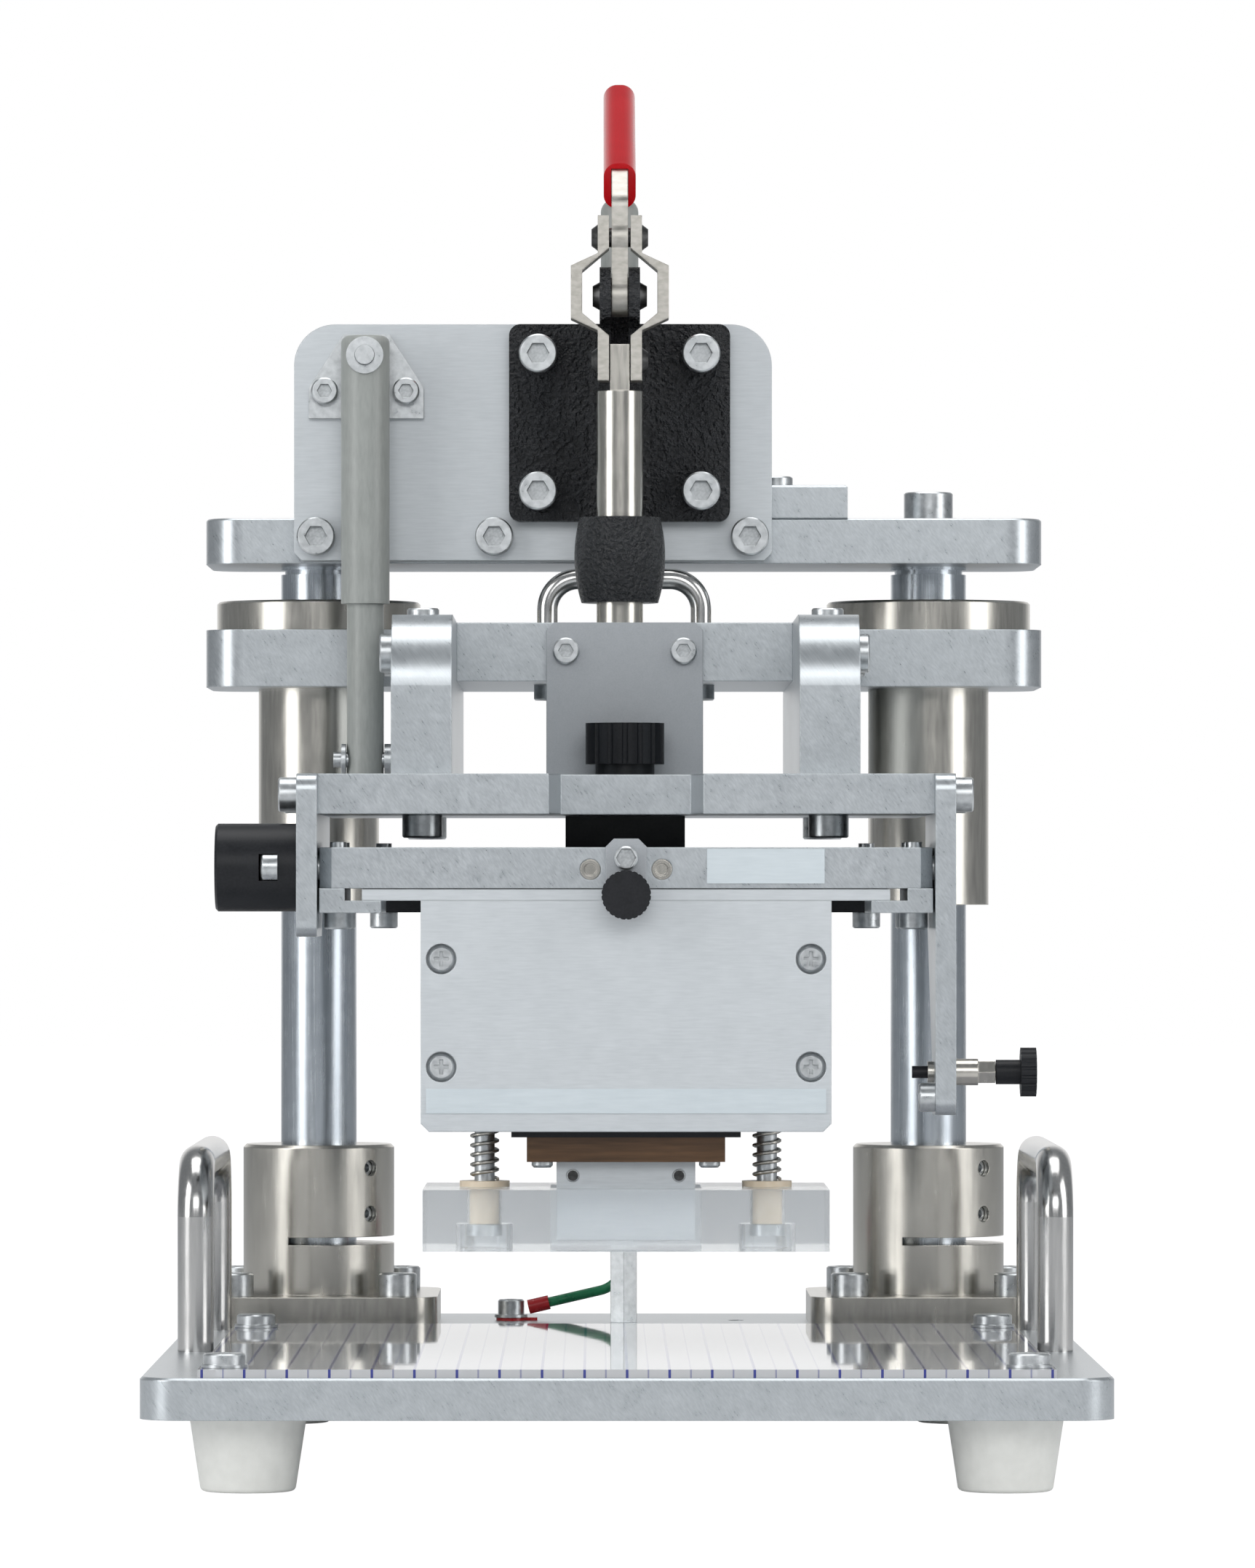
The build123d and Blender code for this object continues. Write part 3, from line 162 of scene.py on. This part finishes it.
# Aluminium: fine slanting cutter grain on plates, brushed cases, and a blasted front plate
milled = surface("milled", (0.44, 0.47, 0.49), (0.56, 0.59, 0.61), 0.85, (0.26, 0.38), 2200,
                 (1.2, 1, 0.045), (0.35, 0.6, 0), 0.14, 1.5e-5, 0.0005)
paint(milled, "base_plate", "top_plate", "stiffener_block", "carriage_plate", "side_beams",
      "holder_mount_plate", "side_plates", "holder_plate", "fixture_rails")
satin = surface("satin", (0.54, 0.57, 0.59), (0.62, 0.65, 0.67), 0.5, (0.42, 0.52), 1500,
                (0.12, 1, 1.4), bump=0.08, edge=0.0005)
paint(satin, "clamp_plate", "fixture_case", "fixture_flange", "probe_block")
blasted = surface("blasted", (0.36, 0.38, 0.40), (0.44, 0.46, 0.48), 0.7, (0.45, 0.6), 3000,
                  bump=0.3, edge=0.0004)
paint(blasted, "front_plate", "lock_lever")

# Steel: plated handles, ground posts, nickel, tumbled stampings, zinc and black rivets
chrome = surface("chrome", (0.50, 0.50, 0.49), (0.62, 0.61, 0.60), 1.0, (0.16, 0.24), 700,
                 (4, 4, 0.2), bump=0.04)
paint(chrome, "carry_handles", "lift_handle")
ground = surface("ground_steel", (0.46, 0.50, 0.54), (0.56, 0.60, 0.64), 1.0, (0.2, 0.3), 1800,
                 (1, 1, 0.02), bump=0.08)
paint(ground, "guide_posts")
nickel = surface("nickel", (0.50, 0.48, 0.44), (0.58, 0.56, 0.51), 1.0, (0.2, 0.28), 900,
                 (1, 1, 0.12), bump=0.05, edge=0.0004)
paint(nickel, "post_supports", "guide_bushes", "plunger", "index_body", "foot_springs",
      "ball_plungers")
stamped = surface("stamped", (0.36, 0.345, 0.31), (0.58, 0.56, 0.52), 1.0, (0.32, 0.48), 420,
                  (1, 1, 2), bump=0.35, depth=4e-5, edge=0.0005)
paint(stamped, "toggle_lever", "toggle_links")
zinc = surface("zinc", (0.42, 0.44, 0.45), (0.66, 0.68, 0.69), 0.95, (0.25, 0.42), 600,
               bump=0.15, edge=0.0003)
paint(zinc, "frame_cap_screws", "frame_small_screws", "carriage_cap_screws",
      "carriage_small_screws", "holder_screws", "fixture_screws", "stay_bracket", "stay_pin",
      "tilt_pivots", "guide_pins", "stop_pillar")
blackened = surface("blackened", (0.03, 0.03, 0.03), (0.09, 0.09, 0.09), 0.8, (0.25, 0.4), 800,
                    bump=0.1)
paint(blackened, "link_rivets", "clamp_pivot_pin")

# Paint, plastic, rubber and film
wrinkle = surface("wrinkle_paint", (0.004, 0.005, 0.006), (0.026, 0.028, 0.032), 0.0,
                  (0.16, 0.34), 1000, bump=1.0, depth=2.6e-3)
wrinkle.set("Specular IOR Level", 0.5)
paint(wrinkle, "clamp_body")
black = surface("black_plastic", (0.004, 0.005, 0.007), (0.012, 0.013, 0.016), 0.0, (0.35, 0.5),
                1800, bump=0.12)
black.set("Specular IOR Level", 0.3)
paint(black, "pressure_block", "tilt_damper", "lock_knob", "index_pin", "lock_lever_knob",
      "rear_stop_bar", "insulator")
grip = surface("dipped_grip", (0.42, 0.0, 0.004), (0.50, 0.001, 0.006), 0.0, (0.16, 0.22), 90,
               bump=0.05)
grip.set("Specular IOR Level", 0.25)
paint(grip, "handle_grip")
grey = surface("grey_plastic", (0.27, 0.285, 0.27), (0.33, 0.345, 0.33), 0.0, (0.34, 0.42), 1400,
               (1, 1, 0.2), bump=0.04)
paint(grey, "stay_tube", "stay_rod", "handle_stop")
rubber = surface("foot_rubber", (0.76, 0.76, 0.72), (0.84, 0.84, 0.80), 0.0, (0.45, 0.6), 300,
                 bump=0.08)
paint(rubber, "feet")
amber = surface("amber", (0.06, 0.03, 0.012), (0.13, 0.065, 0.026), 0.0, (0.15, 0.25), 300,
                (0.2, 1, 3), bump=0.05)
paint(amber, "probe_carrier")
cream = surface("cream", (0.80, 0.66, 0.48), (0.88, 0.76, 0.60), 0.0, (0.4, 0.5), 500, bump=0.05)
paint(cream, "foot_bushes")
film = surface("film", (0.56, 0.62, 0.65), (0.62, 0.68, 0.71), 0.1, (0.4, 0.5), 1500,
               (0.1, 1, 1), bump=0.03)
paint(film, "labels")
sleeve = surface("red_sleeve", (0.34, 0.012, 0.015), (0.48, 0.02, 0.025), 0.0, (0.2, 0.35), 400,
                 bump=0.1)
paint(sleeve, "earth_lugs")
lead = surface("green_lead", (0.008, 0.14, 0.06), (0.015, 0.22, 0.09), 0.0, (0.25, 0.35), 400,
               bump=0.05)
paint(lead, "earth_lead")
pit = surface("socket_pit", (0.36, 0.38, 0.39), (0.60, 0.62, 0.63), 0.8, (0.25, 0.45), 1500,
              bump=0.3)

HEX = 6
ROUND = 12
plate_thickness = 0.0003
pitted = []


def recess_bottom(body, x, y, z, radius, sides=HEX, shade=pit):
    """A thin plate that faces the front in the bottom of a screw's recess."""
    bpy.ops.mesh.primitive_cylinder_add(vertices=sides, radius=radius, depth=plate_thickness,
                                        location=(x, y, z),
                                        rotation=(math.pi / 2, math.pi / 6, 0))
    piece = bpy.context.object
    piece.name = "pit_%02d" % len(pitted)
    piece.data.materials.append(shade.mat)
    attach(piece, body)
    pitted.append(piece)


def front_of(node):
    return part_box(node)[0].y


cast_flange = 0.006
large_hex, middle_hex, small_hex = 0.0028, 0.0023, 0.0019

# Each row: body, the node whose front the heads seat on, x places, z places, how far the
# recess bottoms lie in front of that node, and the radius of the hexagon
sockets = (
    ("frame", "clamp_plate", (-0.0224, 0.02), (0.2468, 0.2826), cast_flange + 0.0027, large_hex),
    ("frame", "clamp_plate", (-0.0804, -0.0339, 0.0328), (0.2352,), 0.0027, large_hex),
    ("frame", "clamp_plate", (-0.0781, -0.0569), (0.2731,), 0.0038, small_hex),
    ("carriage", "front_plate", (-0.015, 0.015), (0.2039,), 0.0013, small_hex),
    ("holder", "holder_plate", (0,), (0.1506,), 0.0043, middle_hex),
)
for body, seat, xs, zs, proud, radius in sockets:
    for x in xs:
        for z in zs:
            recess_bottom(body, x, front_of(seat) - proud, z, radius)

# Two small black screws on the front of the probe block, shown by round plates
probe_screw_x, probe_screw_z = 0.013, 0.0728
probe_screw_radius, probe_screw_proud = 0.0013, 0.0001
for x in (-probe_screw_x, probe_screw_x):
    recess_bottom("holder", x, front_of("probe_block") - probe_screw_proud, probe_screw_z,
                  probe_screw_radius, ROUND, blackened)

# The return springs, between foot and case, are a copy of the spring mesh that moves with the
# foot; the original is hidden
springs = bpy.data.objects.new("return_springs", nodes["foot_springs"].data.copy())
bpy.context.scene.collection.objects.link(springs)
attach(springs, "foot")
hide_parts("foot_springs")
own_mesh(springs)

# Frosted foot, clear enough to show the bushes and the probe block through it
frost = surface("frosted", (0.90, 0.93, 0.95), (0.95, 0.97, 0.98), 0.0, (0.15, 0.19), 300,
                bump=0.01)
frost.set("Transmission Weight", 0.84)
frost.set("IOR", 1.15)
paint(frost, "presser_foot")

# Clear stage with blue lines from front to back, fine every 5 mm and bold every 10 mm
fine_pitch, fine_half_width, fine_ink = 0.005, 0.0002, 0.5
bold_pitch, bold_half_width, bold_ink = 0.01, 0.00032, 0.95
stage = Shade("lined_stage", (0.96, 0.97, 0.99), 0.0, 0.03)
split = stage.tree.nodes.new("ShaderNodeSeparateXYZ")
stage.link(stage.coords, split.inputs[0])


def lines(pitch, half_width, ink):
    """The ink's strength on a line, and 0 between lines."""
    from_line = stage.math("PINGPONG", split.outputs["X"], pitch / 2)
    return stage.math("MULTIPLY", stage.math("LESS_THAN", from_line, half_width), ink)


inked = stage.math("MAXIMUM", lines(fine_pitch, fine_half_width, fine_ink),
                   lines(bold_pitch, bold_half_width, bold_ink))
clear = stage.ramp(stage.noise(60, detail=3.0), (0.92, 0.94, 0.97), (0.97, 0.98, 1.0))
stage.link(stage.mix(inked, clear, (0.03, 0.05, 0.45)), stage.shader.inputs["Base Color"])
stage.link(stage.span(stage.noise(200), 0.02, 0.05), stage.shader.inputs["Roughness"])
stage.set("Transmission Weight", 0.5)
stage.set("IOR", 1.49)
paint(stage, "stage_sheet")

# The floor is pale, and the camera sees most of it as white glow, so a faint shadow stays
floor_glow = 1.14
glow_share = 0.88
white = (1, 1, 1, 1)
pale = Shade("floor_white", (0.86, 0.87, 0.88), 0.0, 0.7)
pale.link(pale.ramp(pale.noise(3.0), (0.84, 0.85, 0.86), (0.90, 0.90, 0.91)),
          pale.shader.inputs["Base Color"])
glow = pale.tree.nodes.new("ShaderNodeEmission")
glow.inputs["Color"].default_value = white
glow.inputs["Strength"].default_value = floor_glow
floor_path = pale.tree.nodes.new("ShaderNodeLightPath")
blend = pale.tree.nodes.new("ShaderNodeMixShader")
pale.link(pale.math("MULTIPLY", floor_path.outputs["Is Camera Ray"], glow_share),
          blend.inputs[0])
pale.link(pale.shader.outputs[0], blend.inputs[1])
pale.link(glow.outputs[0], blend.inputs[2])
pale.link(blend.outputs[0], pale.tree.nodes["Material Output"].inputs["Surface"])

bpy.ops.mesh.primitive_plane_add(size=12, location=(0, 0, -0.0005))
floor = bpy.context.object
floor.name = "floor"
floor.data.materials.append(pale.mat)

# A soft world, which shows white to the camera, through clear pieces and in reflections of
# what lies behind the object
world = bpy.data.worlds.new("studio")
bpy.context.scene.world = world
world.use_nodes = True
tree = world.node_tree


def join(kind, a, b):
    node = tree.nodes.new("ShaderNodeMath")
    node.operation = kind
    tree.links.new(a, node.inputs[0])
    tree.links.new(b, node.inputs[1])
    return node.outputs[0]


soft = tree.nodes["Background"]
soft.inputs["Color"].default_value = (0.80, 0.84, 0.88, 1)
soft.inputs["Strength"].default_value = 0.32
bright = tree.nodes.new("ShaderNodeBackground")
bright.inputs["Color"].default_value = white
path = tree.nodes.new("ShaderNodeLightPath")
sky = tree.nodes.new("ShaderNodeTexCoord")
sky_parts = tree.nodes.new("ShaderNodeSeparateXYZ")
tree.links.new(sky.outputs["Generated"], sky_parts.inputs[0])
white_starts, white_full = 0.75, 0.95
behind = tree.nodes.new("ShaderNodeMapRange")
behind.inputs["From Min"].default_value = white_starts
behind.inputs["From Max"].default_value = white_full
tree.links.new(sky_parts.outputs["Y"], behind.inputs["Value"])
seen = join("MAXIMUM", path.outputs["Is Camera Ray"], path.outputs["Is Transmission Ray"])
mirrored = join("MULTIPLY", path.outputs["Is Glossy Ray"], behind.outputs[0])
choose = tree.nodes.new("ShaderNodeMixShader")
tree.links.new(join("MAXIMUM", seen, mirrored), choose.inputs[0])
tree.links.new(soft.outputs[0], choose.inputs[1])
tree.links.new(bright.outputs[0], choose.inputs[2])
tree.links.new(choose.outputs[0], tree.nodes["World Output"].inputs["Surface"])


def softbox(name, place, aim, width, height, power):
    """A rectangular lamp at place that faces aim."""
    data = bpy.data.lights.new(name, "AREA")
    data.shape = "RECTANGLE"
    data.size = width
    data.size_y = height
    data.energy = power
    lamp = bpy.data.objects.new(name, data)
    bpy.context.scene.collection.objects.link(lamp)
    lamp.location = place
    way = [a - b for a, b in zip(aim, place)]
    flat = math.hypot(way[0], way[1])
    lamp.rotation_euler = (math.atan2(flat, -way[2]), 0, math.atan2(-way[0], way[1]))


softbox("left_box", (-1.3, -0.9, 0.7), (0, 0, 0.18), 0.7, 1.3, 12)
softbox("right_box", (1.3, -0.7, 0.7), (0, 0, 0.18), 0.7, 1.3, 9)
softbox("front_box", (0.1, -2.6, 1.1), (0, 0, 0.15), 1.6, 0.9, 14)
softbox("top_box", (0, 0.1, 1.7), (0, 0, 0), 1.4, 1.0, 12)

# A long lens held level, with the picture shifted instead of the camera tilted
camera_data = bpy.data.cameras.new("camera")
camera_data.sensor_width = 36
camera_data.lens = 200.4
camera_data.shift_x = 0.0197
camera_data.shift_y = 0.071
camera_data.clip_end = 30
camera = bpy.data.objects.new("camera", camera_data)
camera.location = (-0.00718, -2.2105, 0.1415)
camera.rotation_euler = (math.pi / 2, 0, 0)
bpy.context.scene.collection.objects.link(camera)
bpy.context.scene.camera = camera
bpy.context.scene.view_settings.view_transform = "Standard"
